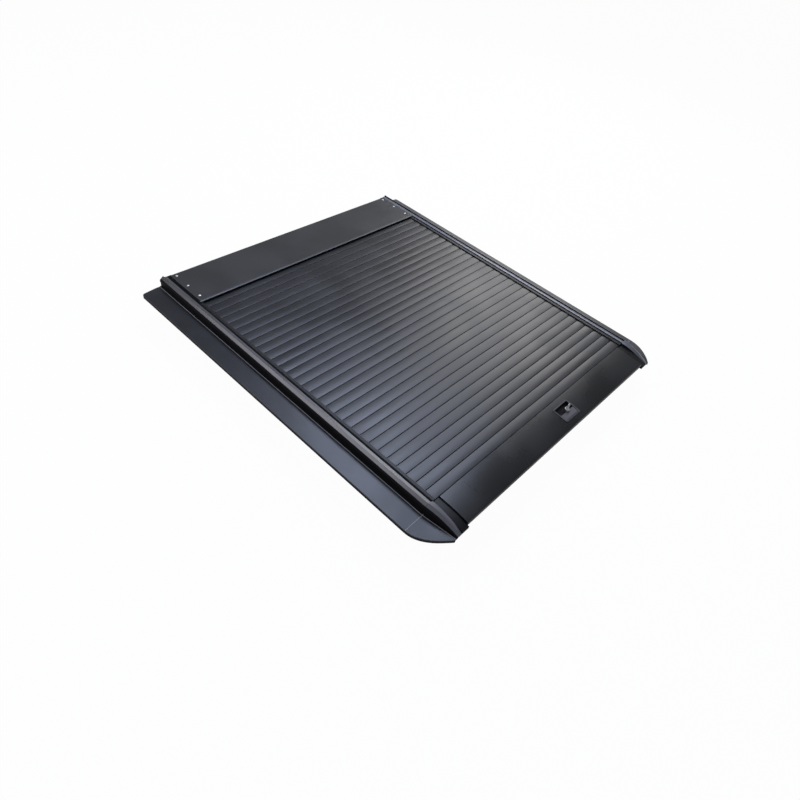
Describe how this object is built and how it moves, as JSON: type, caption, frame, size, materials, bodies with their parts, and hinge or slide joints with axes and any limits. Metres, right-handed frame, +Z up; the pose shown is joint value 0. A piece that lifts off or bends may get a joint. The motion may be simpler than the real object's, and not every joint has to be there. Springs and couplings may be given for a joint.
{
  "type": "tonneau cover",
  "caption": "Retractable pickup bed cover: a curtain of slats runs in two side rails into a canister, with rear corner caps and a key lock in the pull bar.",
  "frame": {"origin": "middle of the flat underside of the left side rail, where the rail sits on the bed side", "axes": "+Z up, +Y along the rails towards the canister at the cab end, +X from the left rail to the right rail"},
  "size_m": [1.566, 1.6646, 0.175],
  "materials": {
    "rail_coat": "satin black powder coat",
    "slat_coat": "satin black powder coat",
    "lid_coat": "satin black powder coat",
    "canister_coat": "satin black powder coat",
    "flange_plastic": "matte black",
    "cap_plastic": "matte black",
    "lock_plastic": "matte black",
    "paddle_plastic": "satin grey",
    "bright_metal": "bright",
    "plug_metal": "bright",
    "rivet_metal": "plain",
    "plain_steel": "zinc plated",
    "plain_aluminium": "mill finish",
    "leader_web": "woven webbing"
  },
  "bodies": {
    "frame": {"rail_left": "rail_coat", "bed_flange_left": "flange_plastic", "flange_tip_left": "flange_plastic", "rail_end_cap_left": "cap_plastic", "rail_right": "rail_coat", "bed_flange_right": "flange_plastic", "flange_tip_right": "flange_plastic", "rail_end_cap_right": "cap_plastic", "canister_trough": "canister_coat", "canister_end_left": "canister_coat", "lid_bar_left": "canister_coat", "canister_end_right": "canister_coat", "lid_bar_right": "canister_coat", "canister_lid": "lid_coat", "lid_rivet_left_front": "rivet_metal", "lid_rivet_left_middle": "rivet_metal", "lid_rivet_left_rear": "rivet_metal", "lid_rivet_right_front": "rivet_metal", "lid_rivet_right_middle": "rivet_metal", "lid_rivet_right_rear": "rivet_metal", "drum_axle": "plain_steel"},
    "curtain": {"slat_01": "slat_coat", "slat_02": "slat_coat", "slat_03": "slat_coat", "slat_04": "slat_coat", "slat_05": "slat_coat", "slat_06": "slat_coat", "slat_07": "slat_coat", "slat_08": "slat_coat", "slat_09": "slat_coat", "slat_10": "slat_coat", "slat_11": "slat_coat", "slat_12": "slat_coat", "slat_13": "slat_coat", "slat_14": "slat_coat", "slat_15": "slat_coat", "slat_16": "slat_coat", "slat_17": "slat_coat", "slat_18": "slat_coat", "slat_19": "slat_coat", "slat_20": "slat_coat", "slat_21": "slat_coat", "slat_22": "slat_coat", "slat_23": "slat_coat", "slat_24": "slat_coat", "slat_25": "slat_coat", "slat_26": "slat_coat", "slat_27": "slat_coat", "slat_28": "slat_coat", "slat_29": "slat_coat", "bullnose": "slat_coat", "lock_pocket": "lock_plastic"},
    "drum": {"drum_tube": "plain_aluminium", "drum_leader": "leader_web"},
    "paddle": {"pull_paddle": "paddle_plastic"},
    "lever": {"lock_lever": "bright_metal", "lock_cam": "plain_steel"},
    "plug": {"key_plug": "plug_metal"},
    "rod_left": {"lock_rod_left": "plain_steel"},
    "rod_right": {"lock_rod_right": "plain_steel"}
  },
  "joints": [
    {"name": "curtain_slide", "type": "slide", "parent": "frame", "child": "curtain", "axis": [0, 1, 0], "range_m": [0, 0.196]},
    {"name": "drum_turn", "type": "hinge", "parent": "frame", "child": "drum", "pos_m": [0.679, 0.641, -0.045], "axis": [1, 0, 0], "range_deg": [-337, 0]},
    {"name": "paddle_lift", "type": "hinge", "parent": "curtain", "child": "paddle", "pos_m": [0.762, -0.85611, 0.03062], "axis": [1, 0, 0], "range_deg": [0, 40], "stiffness_Nm_per_rad": 0.02},
    {"name": "lever_turn", "type": "hinge", "parent": "curtain", "child": "lever", "pos_m": [0.766, -0.82601, 0.03542], "axis": [0, -0.0857, 0.9963], "range_deg": [0, 90]},
    {"name": "key_turn", "type": "hinge", "parent": "lever", "child": "plug", "pos_m": [0.766, -0.82601, 0.03542], "axis": [0, -0.0857, 0.9963], "range_deg": [0, 90]},
    {"name": "rod_left_slide", "type": "slide", "parent": "curtain", "child": "rod_left", "axis": [-1, 0, 0], "range_m": [0, 0.01626]},
    {"name": "rod_right_slide", "type": "slide", "parent": "curtain", "child": "rod_right", "axis": [1, 0, 0], "range_m": [0, 0.01626]}
  ],
  "couplings": [
    {"joint": "drum_turn", "follows": "curtain_slide", "rad_per_m": -29.85},
    {"joint": "lever_turn", "follows": "rod_left_slide", "rad_per_m": 96.59},
    {"joint": "rod_right_slide", "follows": "rod_left_slide", "ratio": 1}
  ]
}
